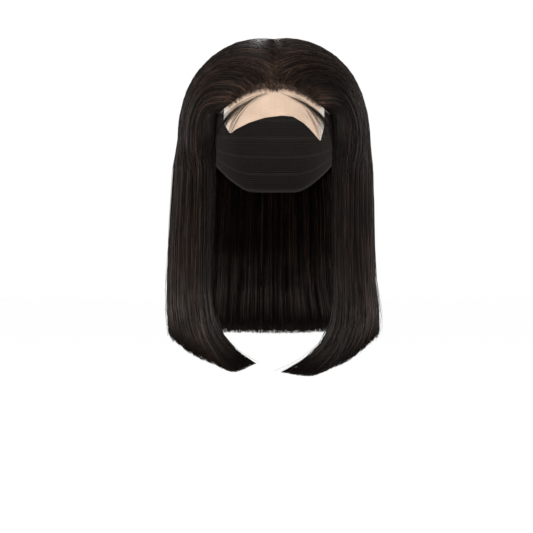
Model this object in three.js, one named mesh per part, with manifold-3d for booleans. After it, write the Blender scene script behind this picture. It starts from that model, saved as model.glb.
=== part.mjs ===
// A shoulder-length bob wig with a lace front, as it is worn.
// Millimetres, +Z up. The wearer faces -Y, and the wearer's left is +X.
// The origin is the point inside the cap that rests on the top of the head.
//
// Two numbers place a point on the wig. turn is the angle round the crown, in degrees:
// 0 is the back centre, 90 the side and 180 the front centre. fall runs down from the crown:
// 0 is the crown, 1 the ear line, and below the ear line it goes on in shares of crownHeight.

import * as THREE from 'three';
import { mergeVertices } from 'three/addons/utils/BufferGeometryUtils.js';
import Module from 'manifold-3d';

const wasm = await Module();
wasm.setup();

// Head and cap
const headBreadth = 148; // inside the cap at the ear line
const headFront = 93; // crown axis to the forehead
const headBack = 96; // crown axis to the back of the head
const crownHeight = 95; // ear line to the top of the head
const domeSquareness = 2.2; // exponent of the dome's outline, 2 for an ellipse
const capWall = 1.5;
const napeDrop = 52; // nape edge of the cap below the ear line
const napeTuck = 0.16; // share by which the head narrows at the nape edge
const earTabDrop = 14; // cap in front of and behind the ear, below the ear line
const templeBack = 48; // how far behind the forehead the cap's ear tabs start
const templeDrop = 66; // cap beside the lace, below the crown
const templeSlope = 8; // how much lower the cap is at the bare temples' edge

// Lace panel
const laceWall = 1.0;
const laceWidth = 104; // seen from the front
const laceTabDrop = 80; // the upper end of the side tabs below the crown
const laceBackSeam = 6; // seam behind the crown axis
const templeHalfWidth = 64; // bare temples outside the lace, seen from the front

// Hair
const crownVolume = 12; // hair over the cap at the crown
const frontVolume = 9; // over the forehead's edge
const sideVolume = 24.5; // over the ears
const backVolume = 18;
const hairWall = 13; // thickness of the hanging curtain
const tipTaper = 0.45; // share by which it thins at the tips
const hairDrop = 340; // crown to the lowest tip
const curtainInset = 34; // below the ear line, where the hair has left the cap
const rootThickness = 2.4; // hair at the hairline
const lockRidge = 1.5; // how far a lock stands out of the grooves beside it
const hemNotch = 4; // how much shorter the hair is between two locks

// Clearances
const seatGap = 1.1; // hair over the cap, measured between the true curves
const sectionGap = 0.3; // between neighbouring sections, and at the parting
const laceGap = 0.35; // round the lace panel

// The parting and the hairline, where the strands leave the cap, with the way that they fall.
// One row is one guide strand, from the face edge to the back centre, and share is its place
// round half of the wig. Seen from above, rootAcross and rootBack place the root, and sweepOut
// and sweepBack are how far the strand first runs out and back. All four are shares of the way
// from the crown to the ear line. earTurn, neckTurn and tipTurn are its turn at the ear line, the
// neck and the tip. tip is a share of hairDrop, fill the fullness at the root, and wall a share of
// hairWall. The wearer's right has its own tips.
const STRANDS = [
  { share: 0.0, rootAcross: 0.631, rootBack: -0.519, sweepOut: 0.05, sweepBack: 0.0, fill: 0.02,
    wall: 0.38, earTurn: 128.4, neckTurn: 143, tipTurn: 176, tip: 0.987, rightTurn: 170, rightTip: 0.962 },
  { share: 0.06, rootAcross: 0.478, rootBack: -0.594, sweepOut: 0.12, sweepBack: 0.03, fill: 0.03,
    wall: 0.8, earTurn: 124, neckTurn: 136, tipTurn: 160, tip: 1.0, rightTurn: 157, rightTip: 0.987 },
  { share: 0.13, rootAcross: 0.303, rootBack: -0.624, sweepOut: 0.12, sweepBack: 0.08, fill: 0.04,
    wall: 1.0, earTurn: 118, neckTurn: 127, tipTurn: 147, tip: 0.98, rightTurn: 144, rightTip: 0.964 },
  { share: 0.19, rootAcross: 0.148, rootBack: -0.634, sweepOut: 0.11, sweepBack: 0.13, fill: 0.06,
    wall: 1.0, earTurn: 112, neckTurn: 120, tipTurn: 138, tip: 0.963, rightTurn: 135, rightTip: 0.951 },
  { share: 0.24, rootAcross: 0.0, rootBack: -0.643, sweepOut: 0.12, sweepBack: 0.16, fill: 0.16,
    wall: 1.0, earTurn: 107, neckTurn: 114, tipTurn: 131, tip: 0.948, rightTurn: 128, rightTip: 0.937 },
  { share: 0.36, rootAcross: 0.0, rootBack: -0.45, sweepOut: 0.18, sweepBack: 0.12, fill: 0.68,
    wall: 1.0, earTurn: 93, neckTurn: 97, tipTurn: 113, tip: 0.902, rightTurn: 113, rightTip: 0.905 },
  { share: 0.5, rootAcross: 0.0, rootBack: -0.28, sweepOut: 0.2, sweepBack: 0.06, fill: 0.8,
    wall: 1.0, earTurn: 72, neckTurn: 74, tipTurn: 86, tip: 0.872, rightTurn: 86, rightTip: 0.875 },
  { share: 0.66, rootAcross: 0.0, rootBack: -0.11, sweepOut: 0.2, sweepBack: 0.03, fill: 0.84,
    wall: 1.0, earTurn: 49, neckTurn: 50, tipTurn: 54, tip: 0.872, rightTurn: 54, rightTip: 0.872 },
  { share: 0.84, rootAcross: 0.0, rootBack: 0.03, sweepOut: 0.12, sweepBack: 0.06, fill: 0.86,
    wall: 1.0, earTurn: 23, neckTurn: 23, tipTurn: 24, tip: 0.878, rightTurn: 24, rightTip: 0.878 },
  { share: 1.0, rootAcross: 0.0, rootBack: 0.12, sweepOut: 0.0, sweepBack: 0.1, fill: 0.86,
    wall: 1.0, earTurn: 0, neckTurn: 0, tipTurn: 0, tip: 0.882, rightTurn: 0, rightTip: 0.882 },
];
const neckLevel = 0.16; // where the strands pass neckTurn, as a share of the curtain
const bendFall = 0.68; // the fall at which a strand from the parting has turned downwards
const tipBend = 9; // how late the strands turn towards the tip, 1 for evenly

// The hanging curtain's outline, level by level. down is a share of the way from the ear line to
// the lowest tip. leftWidth and rightWidth, front and back are shares of the hair's half width,
// front depth and back depth at the ear line.
const CURTAIN = [
  { down: 0.0, leftWidth: 1.0, rightWidth: 1.0, front: 1.0, back: 1.0 },
  { down: 0.11, leftWidth: 1.03, rightWidth: 1.045, front: 0.85, back: 1.0 },
  { down: 0.21, leftWidth: 1.045, rightWidth: 1.06, front: 0.78, back: 0.99 },
  { down: 0.42, leftWidth: 1.04, rightWidth: 1.095, front: 0.76, back: 0.97 },
  { down: 0.62, leftWidth: 1.06, rightWidth: 1.115, front: 0.77, back: 0.94 },
  { down: 0.73, leftWidth: 1.1, rightWidth: 1.12, front: 0.79, back: 0.92 },
  { down: 0.83, leftWidth: 1.11, rightWidth: 1.115, front: 0.82, back: 0.9 },
  { down: 1.0, leftWidth: 1.06, rightWidth: 1.06, front: 0.85, back: 0.87 },
];

// Rows of each strand, as shares of its dome and of its curtain
const DOME_ROWS = [0, 0.07, 0.18, 0.32, 0.46, 0.6, 0.74, 0.87];
const CURTAIN_ROWS = [0, 0.08, 0.17, 0.32, 0.5, 0.66, 0.77, 0.85, 0.91, 0.96, 1];

// Sections of each side of the hair, with the number of locks in each
const SECTIONS = [
  { name: 'front_hair', from: 0, to: 0.36, locks: 9 },
  { name: 'side_hair', from: 0.36, to: 0.66, locks: 7 },
  { name: 'back_hair', from: 0.66, to: 1, locks: 7 },
];
const facetsPerLock = 3;

// The lower edge of the lace and its two tabs, from the wearer's right to left. across is a share
// of half the lace's width, and down a share of laceTabDrop.
const LACE_EDGE = [
  { across: -1.0, down: 0.99 },
  { across: -0.87, down: 1.13 },
  { across: -0.79, down: 1.08 },
  { across: -0.5, down: 0.99 },
  { across: -0.2, down: 0.93 },
  { across: 0.15, down: 0.9 },
  { across: 0.37, down: 0.91 },
  { across: 0.58, down: 0.99 },
  { across: 0.7, down: 1.06 },
  { across: 0.92, down: 1.22 },
  { across: 1.0, down: 1.02 },
];

// The fine hair laid along the hairline. One row is one wisp, seen from the front: it leaves from,
// bends towards bend and ends at to. across is a share of templeHalfWidth, down of crownHeight.
const WISPS = [
  {
    fromAcross: 0.13, fromDown: 0.5, bendAcross: 0.94, bendDown: 0.7,
    toAcross: 0.85, toDown: 0.99, width: 5,
  },
  {
    fromAcross: 0.34, fromDown: 0.56, bendAcross: 0.62, bendDown: 0.66,
    toAcross: 0.68, toDown: 0.93, width: 2.2,
  },
  {
    fromAcross: 0.42, fromDown: 0.58, bendAcross: 0.74, bendDown: 0.72,
    toAcross: 0.76, toDown: 1.04, width: 2,
  },
];
const wispThickness = 1.2;
const wispSteps = 9;

const MATERIALS = {
  hair: new THREE.MeshStandardMaterial({ color: 0x1e1816, roughness: 0.45, metalness: 0 }),
  cap: new THREE.MeshStandardMaterial({ color: 0x17130f, roughness: 0.9, metalness: 0 }),
  lace: new THREE.MeshStandardMaterial({ color: 0xe6cfb6, roughness: 0.85, metalness: 0 }),
};

const radians = THREE.MathUtils.degToRad;
const { lerp, smoothstep } = THREE.MathUtils;

// The value of one column between a table's rows, on a smooth curve through them.
function between(rows, key, column, at) {
  let i = 0;
  while (i < rows.length - 2 && at > rows[i + 1][key]) i += 1;
  const slope = (j) => {
    const low = rows[Math.max(j - 1, 0)];
    const high = rows[Math.min(j + 1, rows.length - 1)];
    return (high[column] - low[column]) / (high[key] - low[key]);
  };
  const span = rows[i + 1][key] - rows[i][key];
  const u = (at - rows[i][key]) / span;
  const start = rows[i][column];
  const end = rows[i + 1][column];
  const rise = end - start;
  const a = slope(i) * span;
  const b = slope(i + 1) * span;
  return start + u * (a + u * (3 * rise - 2 * a - b + u * (a + b - 2 * rise)));
}

// A point of the dome with these half sizes, above the ear line.
function domePoint(turn, fall, halfWidth, depth, height) {
  const out = Math.sin((fall * Math.PI) / 2) ** (2 / domeSquareness);
  const up = Math.max(Math.cos((fall * Math.PI) / 2), 0) ** (2 / domeSquareness);
  return new THREE.Vector3(
    halfWidth * out * Math.sin(radians(turn)),
    depth * out * Math.cos(radians(turn)),
    height * up - crownHeight,
  );
}

// A point on the head, moved out by offset.
function headPoint(turn, fall, offset) {
  const depth = (Math.cos(radians(turn)) > 0 ? headBack : headFront) + offset;
  const halfWidth = headBreadth / 2 + offset;
  if (fall <= 1) return domePoint(turn, fall, halfWidth, depth, crownHeight + offset);
  const below = (fall - 1) * crownHeight;
  const tuck = 1 - napeTuck * (below / napeDrop) ** 2;
  return new THREE.Vector3(
    halfWidth * tuck * Math.sin(radians(turn)),
    depth * tuck * Math.cos(radians(turn)),
    -crownHeight - below,
  );
}

// A point on the hair's full outer form, moved in by inset.
function fullPoint(turn, fall, down, inset, onRight) {
  const halfWidth = headBreadth / 2 + capWall + sideVolume;
  const toBack = Math.cos(radians(turn)) > 0;
  const depth = toBack ? headBack + capWall + backVolume : headFront + capWall + frontVolume;
  if (down <= 0) {
    const height = crownHeight + capWall + crownVolume;
    return domePoint(turn, fall, halfWidth - inset, depth - inset, height - inset);
  }
  const width = halfWidth * between(CURTAIN, 'down', onRight ? 'rightWidth' : 'leftWidth', down) - inset;
  const reach = depth * between(CURTAIN, 'down', toBack ? 'back' : 'front', down) - inset;
  return new THREE.Vector3(
    width * Math.sin(radians(turn)),
    reach * Math.cos(radians(turn)),
    -crownHeight - down * (hairDrop - crownHeight),
  );
}

// The way of the strand at this share: its root, its sweep over the dome and its end, for one side.
function strandAt(share, onRight) {
  const column = (name) => between(STRANDS, 'share', name, share);
  const root = new THREE.Vector2(Math.max(column('rootAcross'), 0), column('rootBack'));
  const earTurn = radians(column('earTurn'));
  const ear = new THREE.Vector2(Math.sin(earTurn), Math.cos(earTurn));
  const way = new THREE.CubicBezierCurve(
    root,
    new THREE.Vector2(root.x + column('sweepOut'), root.y + column('sweepBack')),
    ear.clone().multiplyScalar(Math.max(bendFall, lerp(root.length(), 1, 0.1))),
    ear,
  );
  return {
    way,
    onRight,
    earTurn: column('earTurn'),
    neckTurn: column('neckTurn'),
    tipTurn: column(onRight ? 'rightTurn' : 'tipTurn'),
    tip: column(onRight ? 'rightTip' : 'tip'),
    fill: column('fill'),
    wall: column('wall'),
  };
}

// Where a strand is on one row: its turn and fall on the dome, or its turn and share of the curtain.
function placeOnDome(strand, t) {
  const p = strand.way.getPoint(t);
  return { turn: THREE.MathUtils.radToDeg(Math.atan2(p.x, p.y)), fall: Math.min(p.length(), 1), down: 0 };
}

function placeOnCurtain(strand, t, shorter) {
  const end = (strand.tip * hairDrop - shorter - crownHeight) / (hairDrop - crownHeight);
  const hanging = lerp(strand.earTurn, strand.neckTurn, smoothstep(t, 0, neckLevel));
  const turn = hanging + (strand.tipTurn - strand.neckTurn) * t ** tipBend;
  return { turn, fall: 1, down: end * t };
}

// The two walls of the hair where a strand lies. swell moves the outer one out.
function wallsAt(strand, row, shorter, swell) {
  const onDome = row < DOME_ROWS.length;
  const t = onDome ? DOME_ROWS[row] : CURTAIN_ROWS[row - DOME_ROWS.length];
  const place = onDome ? placeOnDome(strand, t) : placeOnCurtain(strand, t, shorter);
  const { turn, fall, down } = place;
  const full = fullPoint(turn, fall, down, 0, strand.onRight);
  const inner = headPoint(turn, fall, capWall + seatGap);
  const settled = smoothstep(down * (hairDrop - crownHeight), 0, curtainInset);
  const taper = onDome ? 1 : 1 - tipTaper * smoothstep(t, 0.7, 1);
  if (!onDome) {
    const wall = hairWall * strand.wall * taper;
    inner.setZ(full.z).lerp(fullPoint(turn, fall, down, wall, strand.onRight), settled);
  }
  const grown = onDome ? smoothstep(t, -0.05, 0.55) : 1;
  const thinned = onDome ? lerp(1, strand.wall, grown) : lerp(strand.wall, 1, settled);
  const fill = lerp(strand.fill, 1, grown) * thinned;
  const out = full.sub(inner);
  const thickness = Math.max(out.length() * fill, rootThickness);
  out.normalize();
  const ridge = swell * lockRidge * smoothstep(row, 0, 3) * taper;
  return { inner, outer: inner.clone().addScaledVector(out, thickness + ridge) };
}

// One section of hair: a wall whose outer face is a row of locks, fused to its backing.
function hairSection(section, onRight) {
  const { from, to, locks } = section;
  const rows = DOME_ROWS.length + CURTAIN_ROWS.length;
  const columns = locks * facetsPerLock;
  const halfPerimeter = 1.6 * (headBreadth / 2 + sideVolume);
  const margin = sectionGap / 2 / halfPerimeter;
  const start = from === 0 ? 0 : from + margin;
  const end = to === 1 ? 1 : to - margin;
  const points = [];
  for (let row = 0; row < rows; row += 1) {
    for (let column = 0; column <= columns; column += 1) {
      const inLock = (column % facetsPerLock) / facetsPerLock;
      const lock = Math.floor(column / facetsPerLock);
      const edge = inLock === 0;
      const swell = edge ? 0 : 0.75 + 0.25 * Math.sin(lock * 2.4 + from * 9);
      const shorter = edge ? hemNotch : hemNotch * 0.3 * (1 + Math.sin(lock * 3.7));
      const strand = strandAt(lerp(start, end, column / columns), onRight);
      points.push(wallsAt(strand, row, shorter, swell));
    }
  }
  return wallGeometry(points, rows, columns + 1, facetsPerLock, onRight);
}

// A closed wall from rows of { inner, outer } points. The inner face skips all but every nth column.
function wallGeometry(points, rows, columns, everyNth, mirrored) {
  const vertices = [];
  const add = (p) => vertices.push(mirrored ? -p.x : p.x, p.y, p.z);
  points.forEach((p) => add(p.outer));
  points.forEach((p) => add(p.inner));
  const outer = (row, column) => row * columns + column;
  const inner = (row, column) => points.length + row * columns + column;
  const faces = [];
  const quad = (a, b, c, d) => faces.push([a, b, c], [a, c, d]);
  for (let row = 0; row < rows - 1; row += 1) {
    for (let c = 0; c < columns - 1; c += 1) {
      quad(outer(row, c), outer(row, c + 1), outer(row + 1, c + 1), outer(row + 1, c));
    }
    for (let c = 0; c < columns - 1; c += everyNth) {
      quad(inner(row, c), inner(row + 1, c), inner(row + 1, c + everyNth), inner(row, c + everyNth));
    }
    quad(outer(row, 0), outer(row + 1, 0), inner(row + 1, 0), inner(row, 0));
    const last = columns - 1;
    quad(outer(row, last), inner(row, last), inner(row + 1, last), outer(row + 1, last));
  }
  for (let c = 0; c < columns - 1; c += everyNth) {
    for (const [row, turned] of [[0, false], [rows - 1, true]]) {
      const rim = [];
      for (let k = 0; k < everyNth; k += 1) {
        rim.push([inner(row, c), outer(row, c + k + 1), outer(row, c + k)]);
      }
      rim.push([inner(row, c), inner(row, c + everyNth), outer(row, c + everyNth)]);
      rim.forEach(([a, b, d]) => faces.push(turned ? [a, d, b] : [a, b, d]));
    }
  }
  const index = faces.flatMap(([a, b, c]) => (mirrored ? [a, b, c] : [a, c, b]));
  const geometry = new THREE.BufferGeometry();
  geometry.setAttribute('position', new THREE.BufferAttribute(new Float32Array(vertices), 3));
  geometry.setIndex(index);
  return geometry;
}

// Booleans
function solidOf(geometry) {
  const bare = geometry.clone();
  bare.deleteAttribute('normal');
  bare.deleteAttribute('uv');
  const merged = mergeVertices(bare, 1e-4);
  return new wasm.Manifold(new wasm.Mesh({
    numProp: 3,
    vertProperties: merged.attributes.position.array,
    triVerts: new Uint32Array(merged.index.array),
  }));
}

function geometryOf(solid) {
  const mesh = solid.getMesh();
  const geometry = new THREE.BufferGeometry();
  geometry.setAttribute('position', new THREE.BufferAttribute(mesh.vertProperties, 3));
  geometry.setIndex(new THREE.BufferAttribute(mesh.triVerts, 1));
  return geometry;
}

// How far down the head's fabric goes at this turn, before the face is cut away.
function capEdge(turn) {
  const overEar = Math.exp(-(((turn - 88) / 14) ** 2));
  const towardsNape = smoothstep(80 - turn, 0, 60);
  const drop = lerp(earTabDrop, napeDrop, towardsNape) - earTabDrop * 0.7 * overEar;
  return 1 + drop / crownHeight;
}

// The head's fabric, from one offset to another, as one closed shell with an open rim below.
function headShell(innerOffset, outerOffset) {
  const turns = 36;
  const falls = [0.12, 0.26, 0.4, 0.54, 0.68, 0.82, 0.94];
  const vertices = [0, 0, outerOffset, 0, 0, innerOffset];
  const ring = (level, offset) => {
    for (let i = 0; i < turns; i += 1) {
      const turn = (i * 360) / turns;
      const folded = Math.min(turn, 360 - turn);
      const fall = level < falls.length ? falls[level] : lerp(1, capEdge(folded), level - falls.length);
      const p = headPoint(folded, fall, offset);
      vertices.push(turn > 180 ? -p.x : p.x, p.y, p.z);
    }
  };
  const levels = falls.length + 2;
  for (let level = 0; level < levels; level += 1) ring(level, outerOffset);
  for (let level = 0; level < levels; level += 1) ring(level, innerOffset);
  const at = (level, i, inside) => 2 + ((inside ? levels : 0) + level) * turns + (i % turns);
  const faces = [];
  for (let i = 0; i < turns; i += 1) {
    faces.push([0, at(0, i + 1, false), at(0, i, false)]);
    faces.push([1, at(0, i, true), at(0, i + 1, true)]);
    for (let level = 0; level < levels - 1; level += 1) {
      for (const inside of [false, true]) {
        const top = [at(level, i, inside), at(level, i + 1, inside)];
        const low = [at(level + 1, i, inside), at(level + 1, i + 1, inside)];
        const pair = [[top[0], top[1], low[1]], [top[0], low[1], low[0]]];
        pair.forEach(([a, b, c]) => faces.push(inside ? [a, c, b] : [a, b, c]));
      }
    }
    const rim = levels - 1;
    faces.push([at(rim, i, false), at(rim, i + 1, false), at(rim, i + 1, true)]);
    faces.push([at(rim, i, false), at(rim, i + 1, true), at(rim, i, true)]);
  }
  const geometry = new THREE.BufferGeometry();
  geometry.setAttribute('position', new THREE.BufferAttribute(new Float32Array(vertices), 3));
  geometry.setIndex(faces.flat());
  return solidOf(geometry);
}

// A block whose outline is drawn in the front view, x across and z up. It reaches from before
// the face back to backY.
function frontBlock(outline, backY) {
  const depth = headFront * 2;
  const shape = new THREE.Shape(outline.map(([x, z]) => new THREE.Vector2(x, z)));
  const geometry = new THREE.ExtrudeGeometry(shape, { depth, bevelEnabled: false });
  geometry.rotateX(Math.PI / 2);
  geometry.translate(0, backY, 0);
  return solidOf(geometry);
}

function laceOutline(grow) {
  const half = laceWidth / 2 + grow;
  const above = crownVolume + crownHeight;
  const edge = LACE_EDGE.map((row) => [row.across * half, -row.down * laceTabDrop]);
  return [...edge, [half, above], [-half, above]];
}

function wigCap() {
  const above = crownVolume + crownHeight;
  const below = -crownHeight - napeDrop * 2;
  const half = laceWidth / 2 + laceGap;
  const temple = templeHalfWidth + laceGap;
  const panel = [[-half, below], [half, below], [half, above], [-half, above]];
  const face = [
    [-temple, below],
    [temple, below],
    [temple, -templeDrop - templeSlope],
    [half, -templeDrop],
    [-half, -templeDrop],
    [-temple, -templeDrop - templeSlope],
  ];
  const shell = headShell(0, capWall).subtract(frontBlock(panel, laceBackSeam + laceGap));
  return geometryOf(shell.subtract(frontBlock(face, templeBack - headFront)));
}

function laceFront() {
  return geometryOf(headShell(0, laceWall).intersect(frontBlock(laceOutline(0), laceBackSeam)));
}

// A point of the head found from its place in the front view, moved out by offset.
function foreheadPoint(x, z, offset) {
  const halfWidth = headBreadth / 2 + offset;
  const up = Math.min(Math.max((z + crownHeight) / (crownHeight + offset), 0), 1);
  const out = (1 - up ** domeSquareness) ** (1 / domeSquareness);
  const side = Math.min(x / (halfWidth * out), 1);
  return new THREE.Vector3(x, -(headFront + offset) * out * Math.sqrt(1 - side * side), z);
}

// One wisp of the fine hair along the hairline, flat on the lace and pointed at both ends.
function wisp(row, onRight) {
  const rise = laceWall + laceGap + wispThickness / 2;
  const spotAt = (name) => {
    return new THREE.Vector2(row[`${name}Across`] * templeHalfWidth, -row[`${name}Down`] * crownHeight);
  };
  const path = new THREE.QuadraticBezierCurve(spotAt('from'), spotAt('bend'), spotAt('to'));
  const points = [];
  for (let i = 0; i <= wispSteps; i += 1) {
    const t = i / wispSteps;
    const spot = path.getPoint(t);
    const along = path.getTangent(t);
    const width = (row.width / 2) * Math.max(Math.sin(Math.PI * lerp(0.06, 0.97, t)), 0.12);
    const upper = foreheadPoint(spot.x - along.y * width, spot.y + along.x * width, rise);
    const lower = foreheadPoint(spot.x + along.y * width, spot.y - along.x * width, rise);
    const middle = foreheadPoint(spot.x, spot.y, rise);
    const out = foreheadPoint(spot.x, spot.y, rise + 1).sub(middle).normalize();
    const half = (wispThickness / 2) * Math.max(Math.sin(Math.PI * lerp(0.08, 0.95, t)), 0.3);
    const top = middle.clone().addScaledVector(out, half);
    const base = middle.clone().addScaledVector(out, -half);
    points.push([upper, top, lower, base]);
  }
  return tubeThrough(points, onRight);
}

// A closed tube through rings of points, with flat ends.
function tubeThrough(rings, mirrored) {
  const sides = rings[0].length;
  const vertices = rings.flat().flatMap((p) => [mirrored ? -p.x : p.x, p.y, p.z]);
  const faces = [];
  for (let i = 0; i < rings.length - 1; i += 1) {
    for (let k = 0; k < sides; k += 1) {
      const [a, b] = [i * sides + k, i * sides + ((k + 1) % sides)];
      faces.push([a, b, a + sides], [b, b + sides, a + sides]);
    }
  }
  const last = (rings.length - 1) * sides;
  for (let k = 1; k < sides - 1; k += 1) {
    faces.push([0, k + 1, k]);
    faces.push([last, last + k, last + k + 1]);
  }
  const geometry = new THREE.BufferGeometry();
  geometry.setAttribute('position', new THREE.BufferAttribute(new Float32Array(vertices), 3));
  geometry.setIndex(faces.flatMap(([a, b, c]) => (mirrored ? [a, c, b] : [a, b, c])));
  return geometry;
}

function edgeHair(onRight) {
  const wisps = WISPS.map((row) => solidOf(wisp(row, onRight)));
  return geometryOf(wisps.reduce((all, one) => all.add(one)));
}

const wig = new THREE.Group();

function addPiece(name, geometry, material) {
  geometry.computeVertexNormals();
  const mesh = new THREE.Mesh(geometry, material);
  mesh.name = name;
  wig.add(mesh);
  return mesh;
}

addPiece('wig_cap', wigCap(), MATERIALS.cap);
addPiece('lace_front', laceFront(), MATERIALS.lace);
for (const onRight of [false, true]) {
  const side = onRight ? 'right' : 'left';
  for (const section of SECTIONS) {
    const hair = addPiece(`${section.name}_${side}`, hairSection(section, onRight), MATERIALS.hair);
    hair.position.x = (onRight ? -1 : 1) * (sectionGap / 2);
  }
  addPiece(`baby_hair_${side}`, edgeHair(onRight), MATERIALS.hair);
}

export default wig;
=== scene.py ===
"""Dresses the bob wig: strands of hair over their backing, the lace panel and the cap."""

import math

import bmesh
import bpy
import numpy as np
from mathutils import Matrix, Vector


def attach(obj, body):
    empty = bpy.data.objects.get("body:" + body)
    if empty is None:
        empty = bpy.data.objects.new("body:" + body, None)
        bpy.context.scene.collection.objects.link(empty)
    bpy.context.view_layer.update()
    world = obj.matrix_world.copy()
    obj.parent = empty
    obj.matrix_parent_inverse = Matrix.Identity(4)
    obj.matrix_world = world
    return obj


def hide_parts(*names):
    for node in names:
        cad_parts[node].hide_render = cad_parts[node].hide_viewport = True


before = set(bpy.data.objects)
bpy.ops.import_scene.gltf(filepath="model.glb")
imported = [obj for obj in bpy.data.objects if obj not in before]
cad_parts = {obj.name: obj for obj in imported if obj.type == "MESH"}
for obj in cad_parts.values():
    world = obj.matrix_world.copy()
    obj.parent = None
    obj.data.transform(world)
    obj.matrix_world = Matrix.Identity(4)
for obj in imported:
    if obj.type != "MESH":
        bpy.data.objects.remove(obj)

bl_info = {
    "name": "Bob wig",
    "version": (1, 0, 0),
    "blender": (4, 5, 0),
    "location": "View3D > Sidebar > Wig",
    "description": "Hair, lace and cap for a lace-front bob wig",
    "category": "Object",
}

# The wig's lengths in metres. The wearer faces -Y, and the wearer's left is +X.
HEAD_BREADTH = 0.148
HEAD_FRONT = 0.093
HEAD_BACK = 0.096
CROWN = 0.095
SQUARENESS = 2.2
CAP_WALL = 0.0015
NAPE_DROP = 0.052
NAPE_TUCK = 0.16
EAR_TAB_DROP = 0.014
TEMPLE_BACK = 0.048
TEMPLE_DROP = 0.066
TEMPLE_SLOPE = 0.008
TEMPLE_HALF = 0.064
LACE_WALL = 0.001
LACE_HALF = 0.052
LACE_TAB_DROP = 0.08
LACE_SEAM = 0.006
LACE_GAP = 0.00035
CROWN_VOLUME = 0.012
FRONT_VOLUME = 0.009
SIDE_VOLUME = 0.0245
BACK_VOLUME = 0.018
HAIR_WALL = 0.013
TIP_TAPER = 0.45
HAIR_DROP = 0.34
CURTAIN_INSET = 0.034
ROOT_THICKNESS = 0.0024
LOCK_RIDGE = 0.0015
SEAT_GAP = 0.0011
SECTION_GAP = 0.0003
NECK_LEVEL = 0.16
BEND_FALL = 0.68
TIP_BEND = 9

# Guide strands, from the face edge to the back centre, as in the part's source
GUIDE_COLUMNS = "share across back out sweep fill wall ear neck turn tip right_turn right_tip".split()
GUIDES = np.array([
    (0.0, 0.631, -0.519, 0.05, 0.0, 0.02, 0.38, 128.4, 143, 176, 0.987, 170, 0.962),
    (0.06, 0.478, -0.594, 0.12, 0.03, 0.03, 0.8, 124, 136, 160, 1.0, 157, 0.987),
    (0.13, 0.303, -0.624, 0.12, 0.08, 0.04, 1.0, 118, 127, 147, 0.98, 144, 0.964),
    (0.19, 0.148, -0.634, 0.11, 0.13, 0.06, 1.0, 112, 120, 138, 0.963, 135, 0.951),
    (0.24, 0.0, -0.643, 0.12, 0.16, 0.16, 1.0, 107, 114, 131, 0.948, 128, 0.937),
    (0.36, 0.0, -0.45, 0.18, 0.12, 0.68, 1.0, 93, 97, 113, 0.902, 113, 0.905),
    (0.5, 0.0, -0.28, 0.2, 0.06, 0.8, 1.0, 72, 74, 86, 0.872, 86, 0.875),
    (0.66, 0.0, -0.11, 0.2, 0.03, 0.84, 1.0, 49, 50, 54, 0.872, 54, 0.872),
    (0.84, 0.0, 0.03, 0.12, 0.06, 0.86, 1.0, 23, 23, 24, 0.878, 24, 0.878),
    (1.0, 0.0, 0.12, 0.0, 0.1, 0.86, 1.0, 0, 0, 0, 0.882, 0, 0.882),
])
CURTAIN_COLUMNS = "down left right front back".split()
CURTAIN = np.array([
    (0.0, 1.0, 1.0, 1.0, 1.0),
    (0.11, 1.03, 1.045, 0.85, 1.0),
    (0.21, 1.045, 1.06, 0.78, 0.99),
    (0.42, 1.04, 1.095, 0.76, 0.97),
    (0.62, 1.06, 1.115, 0.77, 0.94),
    (0.73, 1.1, 1.12, 0.79, 0.92),
    (0.83, 1.11, 1.115, 0.82, 0.9),
    (1.0, 1.06, 1.06, 0.85, 0.87),
])
# Each section's first and last share, its locks and its part of the settings' count of strands
SECTIONS = {
    "front_hair": (0.0, 0.36, 9, 1.0),
    "side_hair": (0.36, 0.66, 7, 0.72),
    "back_hair": (0.66, 1.0, 7, 0.56),
}
PARTING_START = 0.24
# The hairline's height at the centre, and how it drops with the square of the distance aside
HAIRLINE = -0.041
HAIRLINE_CURVE = 7.6
# How deep a root sits in the net, and the whiter net at the lace's side edges
ROOT_SINK = 0.0003
RAW_EDGE_COLOUR = (0.44, 0.41, 0.37, 1)
# The view's width in pixels, and how wide a pixel is at the wig
VIEW_PIXELS = 533
PIXEL_SIZE = 0.00105
LACE_EDGE = np.array([
    (-1.0, 0.99), (-0.87, 1.13), (-0.79, 1.08), (-0.5, 0.99), (-0.2, 0.93), (0.15, 0.9),
    (0.37, 0.91), (0.58, 0.99), (0.7, 1.06), (0.92, 1.22), (1.0, 1.02),
])
# The levels at which a strand has a point: 0 the root, 1 the ear line, 2 the tip
FRONT_LEVELS = np.array([
    0, 0.045, 0.105, 0.18, 0.265, 0.355, 0.455, 0.565, 0.68, 0.79, 0.9,
    1, 1.14, 1.42, 1.67, 1.79, 1.87, 1.925, 1.965, 2,
])
LEVELS = np.array([
    0, 0.05, 0.12, 0.2, 0.28, 0.36, 0.45, 0.54, 0.64, 0.74, 0.83, 0.92,
    1, 1.12, 1.4, 1.7, 1.86, 1.95, 2,
])
INNER_LEVELS = np.array([1.0, 1.12, 1.35, 1.6, 1.78, 1.88, 1.95, 2.0])


def curve(table, columns, name, at):
    """One column of a table, on a smooth curve through its rows."""
    keys, values = table[:, 0], table[:, columns.index(name)]
    slopes = np.empty_like(values)
    slopes[1:-1] = (values[2:] - values[:-2]) / (keys[2:] - keys[:-2])
    slopes[0] = (values[1] - values[0]) / (keys[1] - keys[0])
    slopes[-1] = (values[-1] - values[-2]) / (keys[-1] - keys[-2])
    i = np.clip(np.searchsorted(keys, at) - 1, 0, len(keys) - 2)
    span = keys[i + 1] - keys[i]
    u = (at - keys[i]) / span
    a, b, rise = slopes[i] * span, slopes[i + 1] * span, values[i + 1] - values[i]
    return values[i] + u * (a + u * (3 * rise - 2 * a - b + u * (a + b - 2 * rise)))


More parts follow.
